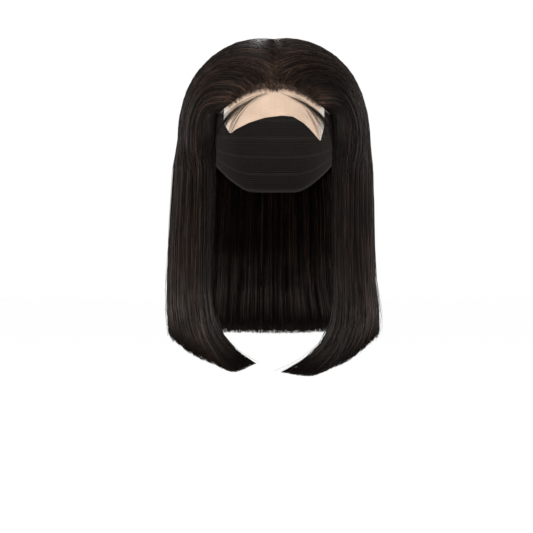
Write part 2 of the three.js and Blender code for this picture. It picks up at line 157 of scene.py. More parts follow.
def smooth(x, low, high):
    """0 below low, 1 above high, and a smooth step between."""
    t = np.clip((x - low) / (high - low), 0, 1)
    return t * t * (3 - 2 * t)


def mix(a, b, t):
    """a at t 0 and b at t 1."""
    return a + (b - a) * t


def near_parting(share):
    """1 where the parting starts, and less on either side of it."""
    return np.exp(-(((share - PARTING_START) / 0.1) ** 2))


def dome_point(turn, fall, half_width, depth, height):
    """A point of the dome above the ear line."""
    angle = fall * math.pi / 2
    out = np.sin(angle) ** (2 / SQUARENESS)
    up = np.maximum(np.cos(angle), 0) ** (2 / SQUARENESS)
    x = half_width * out * np.sin(turn)
    y = depth * out * np.cos(turn)
    return np.stack([x, y, height * up - CROWN], -1)


def head_point(turn, fall, offset):
    """A point of the head, moved out by offset."""
    depth = np.where(np.cos(turn) > 0, HEAD_BACK, HEAD_FRONT) + offset
    p = dome_point(turn, np.minimum(fall, 1), HEAD_BREADTH / 2 + offset, depth, CROWN + offset)
    below = np.maximum(fall - 1, 0) * CROWN
    p[..., :2] *= (1 - NAPE_TUCK * (below / NAPE_DROP) ** 2)[..., None]
    p[..., 2] -= below
    return p


def full_point(turn, fall, down, inset, right):
    """A point of the hair's full outer form, moved in by inset."""
    half = HEAD_BREADTH / 2 + CAP_WALL + SIDE_VOLUME
    behind = np.cos(turn) > 0
    depth = CAP_WALL + np.where(behind, HEAD_BACK + BACK_VOLUME, HEAD_FRONT + FRONT_VOLUME)
    dome = dome_point(turn, fall, half - inset, depth - inset, CROWN + CAP_WALL + CROWN_VOLUME - inset)
    width = half * curve(CURTAIN, CURTAIN_COLUMNS, "right" if right else "left", down) - inset
    front = curve(CURTAIN, CURTAIN_COLUMNS, "front", down)
    back = curve(CURTAIN, CURTAIN_COLUMNS, "back", down)
    reach = depth * np.where(behind, back, front) - inset
    z = -CROWN - down * (HAIR_DROP - CROWN)
    hung = np.stack([width * np.sin(turn), reach * np.cos(turn), z], -1)
    return np.where((down > 0)[..., None], hung, dome)


def walls(share, t, shorter, right, combed=0):
    """The inner and outer wall of the hair where strands lie, on the wearer's left.

    Strands at the front centre are combed back further before they fall, as far as combed says.
    """
    share, t, shorter = np.broadcast_arrays(share, t, shorter)
    column = {name: curve(GUIDES, GUIDE_COLUMNS, name, share) for name in GUIDE_COLUMNS[1:]}
    root = np.stack([np.maximum(column["across"], 0), column["back"]], -1)
    ear_turn = np.radians(column["ear"])
    ear = np.stack([np.sin(ear_turn), np.cos(ear_turn)], -1)
    lean = np.broadcast_to(combed, share.shape) * np.exp(-(((share - 0.215) / 0.065) ** 2))
    first = root + np.stack([column["out"] * (1 - 0.6 * lean), column["sweep"] + 0.24 * lean], -1)
    reach = np.maximum(BEND_FALL, mix(np.linalg.norm(root, axis=-1), 1, 0.1))
    second = ear * reach[..., None]
    d = np.clip(t, 0, 1)[..., None]
    way = root * (1 - d) ** 3 + 3 * first * d * (1 - d) ** 2 + 3 * second * d**2 * (1 - d) + ear * d**3
    c = np.clip(t - 1, 0, 1)
    tip = column["right_tip" if right else "tip"]
    tip_turn = column["right_turn" if right else "turn"]
    whole = tip * HAIR_DROP - CROWN
    reached = c * (whole - shorter) / whole
    hanging = mix(column["ear"], column["neck"], smooth(reached, 0, NECK_LEVEL))
    hanging = hanging + (tip_turn - column["neck"]) * reached**TIP_BEND
    on_dome = t <= 1
    turn = np.where(on_dome, np.arctan2(way[..., 0], way[..., 1]), np.radians(hanging))
    fall = np.where(on_dome, np.minimum(np.linalg.norm(way, axis=-1), 1), 1)
    down = c * (whole - shorter) / (HAIR_DROP - CROWN)
    full = full_point(turn, fall, down, 0, right)
    inner = head_point(turn, fall, CAP_WALL + SEAT_GAP)
    settled = smooth(down * (HAIR_DROP - CROWN), 0, CURTAIN_INSET)
    wall = HAIR_WALL * column["wall"] * (1 - TIP_TAPER * smooth(reached, 0.7, 1))
    inner[..., 2] = np.where(on_dome, inner[..., 2], full[..., 2])
    hung = mix(inner, full_point(turn, fall, down, wall, right), settled[..., None])
    inner = np.where(on_dome[..., None], inner, hung)
    grown = np.where(on_dome, smooth(t, -0.05, 0.55), 1)
    thinned = np.where(on_dome, mix(1, column["wall"], grown), mix(column["wall"], 1, settled))
    out = full - inner
    length = np.linalg.norm(out, axis=-1)
    thickness = np.maximum(length * mix(column["fill"], 1, grown) * thinned, ROOT_THICKNESS)
    out = out / length[..., None]
    return inner, out, thickness, turn, fall


def mirrored(points, right):
    """The points on their own side of the wig."""
    points = np.array(points)
    if right:
        points[..., 0] *= -1
    return points


def node_material(name, roughness):
    """A new material with its node tree, its shader and a function that adds and links nodes."""
    material = bpy.data.materials.new(name)
    material.use_nodes = True
    tree = material.node_tree
    shader = tree.nodes["Principled BSDF"]
    shader.inputs["Roughness"].default_value = roughness

    def add(kind, values=None, links=None, **settings):
        node = tree.nodes.new(kind)
        for key, value in settings.items():
            setattr(node, key, value)
        for socket, value in (values or {}).items():
            node.inputs[socket].default_value = value
        for socket, source in (links or {}).items():
            tree.links.new(source, node.inputs[socket])
        return node

    return material, tree, shader, add


def ramp(add, source, stops):
    """A colour ramp with these stops over a source socket."""
    node = add("ShaderNodeValToRGB", links={"Fac": source})
    bar = node.color_ramp
    for place, colour in stops[1:-1]:
        bar.elements.new(place).color = (*colour, 1)
    bar.elements[0].position, bar.elements[0].color = stops[0][0], (*stops[0][1], 1)
    bar.elements[-1].position, bar.elements[-1].color = stops[-1][0], (*stops[-1][1], 1)
    return node.outputs["Color"]


def blend(add, kind, a, b, factor=1.0):
    """Two colours combined. b and factor are each a socket or a value."""
    values, links = {}, {"A": a}
    for key, given in (("B", b), ("Factor", factor)):
        (links if isinstance(given, bpy.types.NodeSocket) else values)[key] = given
    return add("ShaderNodeMix", values, links, data_type="RGBA", blend_type=kind).outputs["Result"]


def add_bump(tree, shader, add, strength, distance, height):
    """Bump on a shader from a height socket."""
    bump = add("ShaderNodeBump", {"Strength": strength, "Distance": distance}, {"Height": height})
    tree.links.new(bump.outputs["Normal"], shader.inputs["Normal"])


def strand_material(name, settings, palest=None):
    """Off-black hair: each strand has its own tone, lighter and warmer towards the root. A painted highlight
    is added in streaks where the tips turn in, and painted shade darkens the last part of each tip.
    """
    material, tree, shader, add = node_material(name, settings.gloss)
    tone = add("ShaderNodeAttribute", attribute_name="tone")
    along = add("ShaderNodeAttribute", attribute_name="along")
    deep, warm = settings.deep_colour, settings.warm_colour
    middle = [mix(a, b, 0.3) for a, b in zip(deep, warm)]
    black = [0.35 * a for a in deep]
    pale = palest or [1.9 * b for b in warm]
    colour = ramp(add, tone.outputs["Fac"],
                  [(0.12, black), (0.35, deep), (0.66, middle), (0.86, warm), (0.95, pale)])
    # Painted highlight: a light grey-brown added in streaks near the tips, where they turn in, stands in for
    # light on the bend.
    uv = add("ShaderNodeUVMap", uv_map="UVMap")
    stretch = add("ShaderNodeMapping", {"Scale": (230.0, 1.6, 1.0)}, {"Vector": uv.outputs["UV"]})
    bands = add("ShaderNodeTexNoise", {"Scale": 1.0, "Detail": 2.0}, {"Vector": stretch.outputs["Vector"]})
    highlight_streaks = add("ShaderNodeMapRange", {"From Min": 0.44, "From Max": 0.6}, {"Value": bands.outputs["Fac"]})
    bend = ramp(add, along.outputs["Fac"], [
        (0.76, (0, 0, 0)), (0.905, tuple(settings.painted_bend_highlight)), (0.945, tuple(settings.painted_bend_highlight)),
        (0.98, (0, 0, 0)),
    ])
    with_painted_highlight = blend(add, "ADD", colour, bend, highlight_streaks.outputs["Result"])
    coords = add("ShaderNodeTexCoord")
    noise = add("ShaderNodeTexNoise", {"Scale": 38.0, "Detail": 2.0}, {"Vector": coords.outputs["Object"]})
    patch = ramp(add, noise.outputs["Fac"], [(0.35, (0.75, 0.75, 0.75)), (0.65, (1.25, 1.2, 1.15))])
    shade = blend(add, "MULTIPLY", with_painted_highlight, patch)
    # Lighter, warmer roots. From 0.92 to 0.98 along, the tips darken: painted shade where they face down.
    ends = ramp(add, along.outputs["Fac"], [
        (0.0, (4.0, 3.8, 3.7)), (0.04, (2.5, 2.45, 2.4)), (0.08, (1.6, 1.58, 1.55)),
        (0.13, (1.0, 1.0, 1.0)), (0.92, (1.0, 1.0, 1.0)), (0.98, (0.6, 0.55, 0.5)),
    ])
    tree.links.new(blend(add, "MULTIPLY", shade, ends), shader.inputs["Base Color"])
    rough = add("ShaderNodeMapRange", {"To Min": settings.gloss + 0.08, "To Max": settings.gloss - 0.06})
    tree.links.new(tone.outputs["Fac"], rough.inputs["Value"])
    tree.links.new(rough.outputs["Result"], shader.inputs["Roughness"])
    scales = add("ShaderNodeTexNoise", {"Scale": 1800.0, "Detail": 1.0}, {"Vector": coords.outputs["Object"]})
    add_bump(tree, shader, add, 0.3, 0.00004, scales.outputs["Fac"])
    shader.inputs["Specular IOR Level"].default_value = settings.shine
    shader.inputs["Specular Tint"].default_value = (*settings.glint_colour, 1)
    return material


def backing_material(settings):
    """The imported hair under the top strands: dark, with streaks along the way that it falls."""
    material, tree, shader, add = node_material("Off-black hair backing", 0.6)
    uv = add("ShaderNodeUVMap", uv_map="UVMap")
    stretch = add("ShaderNodeMapping", {"Scale": (260.0, 3.0, 1.0)}, {"Vector": uv.outputs["UV"]})
    noise = add("ShaderNodeTexNoise", {"Scale": 1.0, "Detail": 4.0}, {"Vector": stretch.outputs["Vector"]})
    deep, warm = settings.deep_colour, settings.warm_colour
    low = [0.6 * a for a in deep]
    high = [mix(a, b, 0.35) for a, b in zip(deep, warm)]
    colour = ramp(add, noise.outputs["Fac"], [(0.35, low), (0.7, high)])
    tree.links.new(colour, shader.inputs["Base Color"])
    add_bump(tree, shader, add, 0.5, 0.0006, noise.outputs["Fac"])
    shader.inputs["Specular IOR Level"].default_value = 0.5 * settings.shine
    shader.inputs["Specular Tint"].default_value = (*settings.glint_colour, 1)
    return material


def lace_material(settings):
    """Fine beige net: six-sided holes between pale threads."""
    material, tree, shader, add = node_material("Beige lace net", 0.75)
    uv = add("ShaderNodeUVMap", uv_map="UVMap")
    cells = add("ShaderNodeTexVoronoi", {"Scale": 1.0 / settings.mesh_size, "Randomness": 0.25},
                {"Vector": uv.outputs["UV"]}, feature="DISTANCE_TO_EDGE", voronoi_dimensions="2D")
    thread = add("ShaderNodeMapRange", {"From Min": 0.06, "From Max": 0.2, "To Min": 1.0, "To Max": 0.0},
                 {"Value": cells.outputs["Distance"]})
    noise = add("ShaderNodeTexNoise", {"Scale": 60.0, "Detail": 2.0}, {"Vector": uv.outputs["UV"]})
    base = tuple(settings.colour)
    hole = tuple(0.82 * c for c in base)
    pale = tuple(min(1.0, 1.12 * c) for c in base)
    colour = ramp(add, thread.outputs["Result"], [(0.0, hole), (1.0, pale)])
    cloud = ramp(add, noise.outputs["Fac"], [(0.3, (0.88, 0.85, 0.82)), (0.7, (1.04, 1.03, 1.02))])
    shade = blend(add, "MULTIPLY", colour, cloud)
    coords = add("ShaderNodeTexCoord")
    place = add("ShaderNodeSeparateXYZ", links={"Vector": coords.outputs["Object"]})
    curved = add("ShaderNodeMath", {1: 2.0}, {0: place.outputs["X"]}, operation="POWER")
    level = add("ShaderNodeMath", {1: HAIRLINE_CURVE}, {0: curved.outputs[0], 2: place.outputs["Z"]},
                operation="MULTIPLY_ADD")
    tied = add("ShaderNodeMapRange",
               {"From Min": HAIRLINE - 0.003, "From Max": HAIRLINE + 0.004, "To Max": 0.85},
               {"Value": level.outputs[0]})
    knots = blend(add, "MIX", shade, (*settings.knot_colour, 1), tied.outputs["Result"])
    split = add("ShaderNodeSeparateXYZ", links={"Vector": uv.outputs["UV"]})
    aside = add("ShaderNodeMath", links={0: split.outputs["X"]}, operation="ABSOLUTE")
    edge = add("ShaderNodeMapRange",
               {"From Min": LACE_HALF - settings.raw_edge, "From Max": LACE_HALF - 0.001},
               {"Value": aside.outputs[0]})
    pale_edge = blend(add, "MIX", knots, RAW_EDGE_COLOUR, edge.outputs["Result"])
    tree.links.new(pale_edge, shader.inputs["Base Color"])
    add_bump(tree, shader, add, 0.4, 0.0003, thread.outputs["Result"])
    shader.inputs["Sheen Weight"].default_value = 0.3
    return material


def cap_material(settings):
    """Dark stretch net with the sewn rows of hair showing through as lines."""
    material, tree, shader, add = node_material("Dark stretch net", 0.85)
    uv = add("ShaderNodeUVMap", uv_map="UVMap")
    net = add("ShaderNodeTexVoronoi", {"Scale": 1.0 / settings.mesh_size, "Randomness": 0.1},
              {"Vector": uv.outputs["UV"]}, feature="DISTANCE_TO_EDGE", voronoi_dimensions="2D")
    thread = add("ShaderNodeMapRange", {"From Min": 0.08, "From Max": 0.25, "To Min": 1.0, "To Max": 0.0},
                 {"Value": net.outputs["Distance"]})
    split = add("ShaderNodeSeparateXYZ", links={"Vector": uv.outputs["UV"]})
    row = add("ShaderNodeMath", {1: settings.row_spacing}, {0: split.outputs["Y"]}, operation="PINGPONG")
    seam = add("ShaderNodeMapRange",
               {"From Min": 0.0008, "From Max": 0.0016, "To Min": 1.0, "To Max": 0.0},
               {"Value": row.outputs[0]})
    height = add("ShaderNodeMath", links={0: thread.outputs["Result"], 1: seam.outputs["Result"]},
                 operation="ADD")
    dark = tuple(settings.colour)
    hole = tuple(0.45 * c for c in dark)
    pale = tuple(1.8 * c for c in dark)
    colour = ramp(add, height.outputs[0], [(0.0, hole), (0.6, dark), (1.0, pale)])
    tree.links.new(colour, shader.inputs["Base Color"])
    add_bump(tree, shader, add, 0.6, 0.0004, height.outputs[0])
    return material


def closed_object(bm, name):
    """The object of a closed mesh, facing outward and shaded smooth."""
    bmesh.ops.recalc_face_normals(bm, faces=bm.faces[:])
    for face in bm.faces:
        face.smooth = True
    mesh = bpy.data.meshes.new(name)
    bm.to_mesh(mesh)
    bm.free()
    return bpy.data.objects.new(name, mesh)


def finish_piece(obj, material, slot, *nodes):
    """Gives a piece its material and its place in the part."""
    obj.data.materials.append(material)
    bpy.context.scene.collection.objects.link(obj)
    if nodes:
        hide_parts(*nodes)
    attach(obj, "root")
    return obj


def strands_mesh(centres, outward, radius, tone, along, first, total):
    """Closed three-sided strands as one mesh. centres is strands x levels x 3.

    Along has the place of each level on a strand, from 0 at the root to 1 at the tip. Each strand
    has its own column of the UV map, from the first one of the total.
    """
    count, levels = centres.shape[:2]
    tangent = np.gradient(centres, axis=1)
    tangent /= np.linalg.norm(tangent, axis=-1, keepdims=True) + 1e-12
    across = np.cross(tangent, outward)
    across /= np.linalg.norm(across, axis=-1, keepdims=True) + 1e-12
    normal = np.cross(across, tangent)
    angles = np.radians([90, 210, 330])
    wide, flat = 1.35 * np.cos(angles)[:, None], 0.8 * np.sin(angles)[:, None]
    ring = wide * across[:, :, None] + flat * normal[:, :, None]
    points = centres[:, :, None] + radius[..., None, None] * ring
    vertex = np.arange(count * levels * 3).reshape(count, levels, 3)
    turned = np.roll(vertex, -1, axis=2)
    quads = np.stack([vertex[:, :-1], vertex[:, 1:], turned[:, 1:], turned[:, :-1]], -1).reshape(-1, 4)
    caps = np.concatenate([vertex[:, 0], vertex[:, -1, ::-1]])
    loops = np.concatenate([quads.ravel(), caps.ravel()])
    totals = np.concatenate([np.full(len(quads), 4), np.full(len(caps), 3)])
    starts = np.concatenate([[0], np.cumsum(totals)[:-1]])
    mesh = bpy.data.meshes.new("strands")
    mesh.vertices.add(vertex.size)
    mesh.loops.add(len(loops))
    mesh.polygons.add(len(totals))
    mesh.vertices.foreach_set("co", points.astype(np.float32).ravel())
    mesh.loops.foreach_set("vertex_index", loops.astype(np.int32))
    mesh.polygons.foreach_set("loop_start", starts.astype(np.int32))
    mesh.polygons.foreach_set("use_smooth", np.ones(len(totals), dtype=bool))
    along = np.broadcast_to(along[None, :, None], vertex.shape)
    tones = np.broadcast_to(tone[:, None, None], vertex.shape)
    for key, values in (("tone", tones), ("along", along)):
        layer = mesh.attributes.new(key, "FLOAT", "POINT")
        layer.data.foreach_set("value", values.astype(np.float32).ravel())
    u = (first + np.arange(count)[:, None, None] + np.arange(3) / 3) / total
    uv = np.stack([np.broadcast_to(u, vertex.shape), along], -1).reshape(-1, 2)
    mesh.uv_layers.new(name="UVMap").data.foreach_set("uv", uv[loops].astype(np.float32).ravel())
    mesh.update(calc_edges=True)
    mesh.validate()
    return mesh


def joined_strands(name, parts):
    """One object of several groups of strands."""
    bm = bmesh.new()
    first, total = 0, sum(len(part[0]) for part in parts)
    for part in parts:
        mesh = strands_mesh(*part, first, total)
        bm.from_mesh(mesh)
        bpy.data.meshes.remove(mesh)
        first += len(part[0])
    joined = bpy.data.meshes.new(name)
    bm.to_mesh(joined)
    bm.free()
    return bpy.data.objects.new(name, joined)


def hair_strands(name, section, right, settings, seed):
    """The strands of one section: a top layer, some within the wall and some inside it."""
    start, end, locks, part = SECTIONS[section]
    rng = np.random.default_rng(seed)
    top, inner_count = int(part * settings.strands), settings.inner_strands
    width = settings.strand_width / 2 / math.sqrt(part)
    parts = []
    top_levels = FRONT_LEVELS if start == 0 else LEVELS
    for count, levels, inside in ((top, top_levels, False), (inner_count, INNER_LEVELS, True)):
        spread = (np.arange(count) + rng.random(count)) / count
        share0 = start + (end - start) * (spread ** 1.35 if start == 0 else spread)
        centres = start + (end - start) * rng.random(settings.clumps)
        centres[-1] = end
        clump = np.abs(share0[:, None] + rng.normal(0, 0.006, count)[:, None] - centres).argmin(1)
        late = rng.random((count, 1)) * (0.0 if inside else settings.root_zone)
        late = np.where(share0[:, None] < PARTING_START, late, 0.2 * late)
        gaps = np.diff(levels)
        room = np.concatenate([[0], np.minimum(gaps[:-1], gaps[1:]), [0]])
        t = levels + 0.35 * rng.uniform(-1, 1, (count, len(levels))) * room
        t = t + late * (1 - t / 2)
        pull = settings.gather * smooth(t, 1.15, 2.0) * rng.uniform(0.4, 1.0, (count, 1))
        pull = pull * (smooth(share0, 0.0, 0.12)[:, None] if start == 0 else 1)
        wander = rng.normal(0, 0.0016, (count, 1)) * np.sin(
            math.tau * (rng.uniform(0.3, 0.9, (count, 1)) * t + rng.random((count, 1)))) * smooth(t, 0, 0.6)
        share = share0[:, None] + (centres[clump][:, None] - share0[:, None]) * pull + wander
        share = np.clip(share, 0, 1.02)
        apart = (rng.random((count, 1)) < settings.stray_share) * rng.uniform(0, 1, (count, 1))
        loose = np.sin(math.tau * (rng.uniform(0.4, 1.1, (count, 1)) * t + rng.random((count, 1))))
        share = share - ((0.018 + 0.008 * loose) * apart * smooth(t, 1.25, 1.9) if start == 0 else 0)
        hem = rng.uniform(-0.0012, 0.0005, settings.clumps)[clump] + np.abs(rng.normal(0, 0.0018, count))
        early = rng.random(count) < 0.07
        hem = np.where(early, hem + rng.uniform(0.003, 0.035, count), hem)
        hem = hem * (mix(0.3, 1, smooth(share0, 0.03, 0.16)) if start == 0 else 1)
        combed = settings.combed * rng.uniform(0.02, 1, (count, 1)) ** 0.8
        inner, out, thickness, turn, fall = walls(share, t, hem[:, None], right, combed)
        phase = (share0 - start) / (end - start) * locks
        height = rng.uniform(0.35, 1.0, locks + 1)[phase.astype(int)]
        ridge = LOCK_RIDGE * height * np.sin(math.pi * (phase % 1)) ** 0.8
        ridge = ridge[:, None] * smooth(t, 0.05, 0.4) * (1 - 0.5 * smooth(t, 1.6, 2))
        if inside:
            lift = rng.uniform(-0.0007, 0.0007, (count, 1))
            lift = lift + rng.uniform(0, 0.001, (count, 1)) * smooth(t, 1.5, 2)
        else:
            under = np.abs(rng.normal(0, settings.layer_depth, (count, 1)))
            deep = rng.random((count, 1)) < 0.16
            under = np.where(deep, rng.uniform(0, 0.8, (count, 1)) * thickness, under)
            crowned = 1 + 2.5 * smooth(t, 0, 0.12) * (1 - smooth(fall, 0.3, 0.85))
            lift = thickness - np.minimum(under, 0.9 * thickness) + ridge + settings.loft * crowned
            layered = rng.uniform(-settings.layering, 0.0003, settings.clumps)[clump][:, None]
            lift = np.maximum(lift + layered * smooth(t, 0.08, 0.45), 0.1 * thickness)
            stray = (rng.random((count, 1)) < settings.stray_share) * rng.uniform(0.0004, 0.0028, (count, 1))
            stray = stray * mix(0.3, 1, smooth(t, 0.4, 1.2))
            lift = lift + stray * np.sin(math.pi * (t * rng.uniform(0.6, 1.9, (count, 1)) + 0.1 * loose)) ** 2
            lift = lift + (0.004 + 0.002 * loose) * apart * smooth(t, 1.2, 2)
        curl = 0.003 * smooth(t, 1.8, 2.0) * rng.random((count, 1))
        points = inner + out * (lift - curl)[..., None]
        if not inside:
            sunk = 1 - smooth(t - late, 0, 0.08)
            at_front = share0[:, None] < PARTING_START
            root = head_point(turn, fall, LACE_WALL - ROOT_SINK)
            lowered = rng.random((count, 1)) ** 1.6 * (0.001 + 0.004 * near_parting(share0[:, None]))
            root = forehead_point(np.abs(root[..., 0]), root[..., 2] - lowered, LACE_WALL - ROOT_SINK)
            dropped = points - out * rng.uniform(0.0, 0.0022, (count, 1, 1))
            dropped[..., 0] -= 0.0005 + 0.0055 * rng.random((count, 1)) ** 2
            root = np.where(at_front[..., None], root, dropped)
            points = mix(points, root, sunk[..., None])
            points[:, 0, 2] -= np.abs(rng.normal(0, 0.0008, count)) * at_front[:, 0]
        radius = width * rng.uniform(0.75, 1.2, (count, 1)) * (1 - 0.65 * smooth(t, 1.75, 2.0)) * (
            0.5 + 0.5 * smooth(t - late, 0, 0.14))
        tone = 0.5 + 1.45 * (0.66 * rng.random(count) + 0.34 * rng.random(settings.clumps)[clump] - 0.5)
        # Painted shade: strands along the face edge get darker tones.
        if start == 0:
            tone = tone * mix(0.5, 1, smooth(share0, 0.0, 0.07))
        parts.append((mirrored(points, right), mirrored(out, right), np.broadcast_to(radius, share.shape),
                      np.clip(tone, 0, 1), levels / 2 if start == 0 else np.maximum(levels / 2, 0.08)))
    if start == 0:
        parts.append(temple_strands(right, settings, rng))
    return joined_strands(name, parts)


def temple_strands(right, settings, rng):
    """Strands rooted on the cap's temple tabs, which fall inside the front edge of the hair."""
    count = settings.temple_strands
    x = rng.uniform(LACE_HALF + 0.0005, TEMPLE_HALF, (count, 1))
    z = -TEMPLE_DROP - 0.004 + rng.uniform(0, 0.046, (count, 1))
    root = forehead_point(x, z, CAP_WALL - ROOT_SINK)
    share = rng.uniform(0.0, 0.07, (count, 1))
    hem = np.abs(rng.normal(0, 0.006, (count, 1))) + 0.12 * rng.random((count, 1)) ** 3
    hung = INNER_LEVELS[2:][None, :]
    inner, out, thickness, _, _ = walls(share, hung, hem, right)
    curtain = inner + out * (rng.uniform(0.1, 0.8, (count, 1)) * thickness)[..., None]
    bend = root + np.array([0.009, 0.0, -0.03])
    s = np.linspace(0, 1, 9)[None, :-1, None]
    fall = root * (1 - s) ** 2 + 2 * bend * s * (1 - s) + curtain[:, :1] * s**2
    points = np.concatenate([fall, curtain], 1)
    away = points - np.array([0, 0, -CROWN])
    away[..., 2] = np.maximum(away[..., 2], 0)
    away /= np.linalg.norm(away, axis=-1, keepdims=True)
    ahead = np.linspace(0, 1, points.shape[1])[None, :]
    radius = settings.strand_width / 2 * rng.uniform(0.6, 1.1, (count, 1))
    radius = radius * (1 - 0.65 * smooth(ahead, 0.75, 1))
    # Painted shade: the temple strands fall along the face edge and get darker tones, at most half.
    return mirrored(points, right), mirrored(away, right), radius, 0.5 * rng.random(count), ahead[0]


def hair_backing(name, section, right, settings, seed):
    """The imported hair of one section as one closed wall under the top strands, with a ragged hem."""
    start, end, locks, _ = SECTIONS[section]
    rng = np.random.default_rng(seed)
    columns, rows = locks * 5, 32
    bm = bmesh.new()
    bmesh.ops.create_grid(bm, x_segments=columns, y_segments=rows, size=0.5)
    uv = bm.loops.layers.uv.new("UVMap")
    grown = bmesh.ops.extrude_face_region(bm, geom=bm.faces[:], use_keep_orig=True)
    inner_side = {v for v in grown["geom"] if isinstance(v, bmesh.types.BMVert)}
    verts = bm.verts[:]
    u = np.array([v.co.x for v in verts]) + 0.5
    v = np.array([v.co.y for v in verts]) + 0.5
    within = np.array([v in inner_side for v in verts])
    for face in bm.faces:
        for loop in face.loops:
            loop[uv].uv = (loop.vert.co.x + 0.5, loop.vert.co.y + 0.5)
    margin = SECTION_GAP / 2 / (1.6 * (HEAD_BREADTH / 2 + SIDE_VOLUME))
    first = 0.012 if start == 0 else start + margin
    last = 1.0 if end == 1 else end - margin
    lock = np.sin(math.pi * ((u * locks) % 1)) ** 0.8
    share = mix(first, last, u)
    begin = 0.12 * (1 - smooth(share, PARTING_START - 0.02, PARTING_START + 0.02))
    t = mix(begin, 2, v)
    ragged = rng.uniform(0, settings.hem_raggedness, columns + 1)[np.rint(u * columns).astype(int)]
    shorter = settings.hem_inset + 0.001 * (1 - lock) + ragged
    shorter = shorter + settings.point_inset * (1 - smooth(share, 0, 0.1))
    if start == 0:
        shorter = shorter * mix(0.25, 1, smooth(share, 0.05, 0.18))
    inner, out, thickness, _, _ = walls(share, t, shorter, right)
    ridge = LOCK_RIDGE * 0.6 * lock * smooth(t, 0.1, 0.6)
    rooted = 1 - smooth(t, 0, 0.12)
    outer_lift = np.maximum(thickness - settings.top_layer * (1 + 0.6 * rooted) + ridge, 0.0006)
    lift = np.where(within, 0.0004, outer_lift * (1 - 0.6 * smooth(t, 1.85, 2)))
    points = inner + out * lift[:, None]
    points[:, 0] += SECTION_GAP / 2
    for vert, p in zip(verts, mirrored(points, right)):
        vert.co = p
    return closed_object(bm, name)


def forehead_point(x, z, offset):
    """A point of the forehead from its place in the front view."""
    up = np.clip((z + CROWN) / (CROWN + offset), 0, 1)
    out = (1 - up**SQUARENESS) ** (1 / SQUARENESS)
    side = np.clip(x / ((HEAD_BREADTH / 2 + offset) * np.maximum(out, 1e-6)), -1, 1)
    return np.stack([x, -(HEAD_FRONT + offset) * out * np.sqrt(1 - side**2), z], -1)


class HairSettings(bpy.types.PropertyGroup):
    """Sizes and colours of the hair."""

    strands: bpy.props.IntProperty(
        name="Top strands", description="Strands in each section's top layer",
        default=1400, min=10, max=1500)
    inner_strands: bpy.props.IntProperty(
        name="Inner strands", description="Strands inside each section",
        default=260, min=10, max=1000)
    strand_width: bpy.props.FloatProperty(
        name="Strand width", description="Width of a strand of hair",
        default=0.00048, min=0.0001, max=0.002, unit="LENGTH")
    clumps: bpy.props.IntProperty(
        name="Tip points", description="Points that each section's tips gather into",
        default=72, min=2, max=200)
    gather: bpy.props.FloatProperty(
        name="Gather", description="How far the tips gather into points",
        default=0.15, min=0, max=1, subtype="FACTOR")
    temple_strands: bpy.props.IntProperty(
        name="Temple strands", description="Strands on each of the temple tabs",
        default=200, min=10, max=1000)
    root_zone: bpy.props.FloatProperty(
        name="Root zone", description="Share of a strand within which roots are spread",
        default=0.1, min=0, max=0.3, subtype="FACTOR")
    layer_depth: bpy.props.FloatProperty(
        name="Layer depth", description="Spread of the top layer inwards",
        default=0.0011, min=0, max=0.01, unit="LENGTH")
    top_layer: bpy.props.FloatProperty(
        name="Top layer", description="Depth of the backing under the hair's surface",
        default=0.002, min=0, max=0.01, unit="LENGTH")
    hem_inset: bpy.props.FloatProperty(
        name="Hem inset", description="How much shorter the backing is than the tips",
        default=0.0015, min=0, max=0.05, unit="LENGTH")
    hem_raggedness: bpy.props.FloatProperty(
        name="Hem raggedness", description="Spread of the backing's hem",
        default=0.002, min=0, max=0.05, unit="LENGTH")
    loft: bpy.props.FloatProperty(
        name="Loft", description="How far the top strands stand above the packed hair",
        default=0.0007, min=0, max=0.01, unit="LENGTH")
    point_inset: bpy.props.FloatProperty(
        name="Point inset", description="How much shorter the backing is at the face",
        default=0.001, min=0, max=0.1, unit="LENGTH")
    combed: bpy.props.FloatProperty(
        name="Combed back", description="How far the front centre is combed back",
        default=1.0, min=0, max=1, subtype="FACTOR")
    stray_share: bpy.props.FloatProperty(
        name="Stray hairs", description="Share of strands that stand away",
        default=0.02, min=0, max=1, subtype="FACTOR")
    gloss: bpy.props.FloatProperty(
        name="Roughness", description="Roughness of a strand, lower for glossier hair",
        default=0.3, min=0.05, max=1, subtype="FACTOR")
    shine: bpy.props.FloatProperty(
        name="Shine", description="Strength of the light on each strand",
        default=0.085, min=0, max=1, subtype="FACTOR")
    layering: bpy.props.FloatProperty(
        name="Layering", description="Spread of the depth of neighbouring locks",
        default=0.0014, min=0, max=0.01, unit="LENGTH")
    deep_colour: bpy.props.FloatVectorProperty(
        name="Deep colour", description="Colour of the darkest strands",
        default=(0.0032, 0.0023, 0.0019), size=3, subtype="COLOR")
    warm_colour: bpy.props.FloatVectorProperty(
        name="Warm colour", description="Colour of the brownest strands",
        default=(0.0155, 0.0092, 0.0068), size=3, subtype="COLOR")
    # Painted highlight: the colour added to the strands where the tips turn in.
    painted_bend_highlight: bpy.props.FloatVectorProperty(
        name="Painted bend highlight", description="Light added where the tips turn in",
        default=(0.034, 0.0304, 0.0286), size=3, subtype="COLOR")
    glint_colour: bpy.props.FloatVectorProperty(
        name="Glint colour", description="Tint of the light on a strand",
        default=(0.95, 0.82, 0.77), size=3, subtype="COLOR")


class BabyHairSettings(bpy.types.PropertyGroup):
    """Sizes of the fine hair along the hairline."""

    strands: bpy.props.IntProperty(
        name="Strands", description="Fine strands on each side",
        default=120, min=10, max=1000)
    stubble: bpy.props.IntProperty(
        name="Roots", description="Short roots on each side of the hairline",
        default=1100, min=10, max=2000)
    width: bpy.props.FloatProperty(
        name="Strand width", description="Width of a fine strand",
        default=0.00026, min=0.0001, max=0.001, unit="LENGTH")
    root_colour: bpy.props.FloatVectorProperty(
        name="Root colour", description="Colour of the short roots",
        size=3, default=(0.12, 0.08, 0.062), subtype="COLOR")


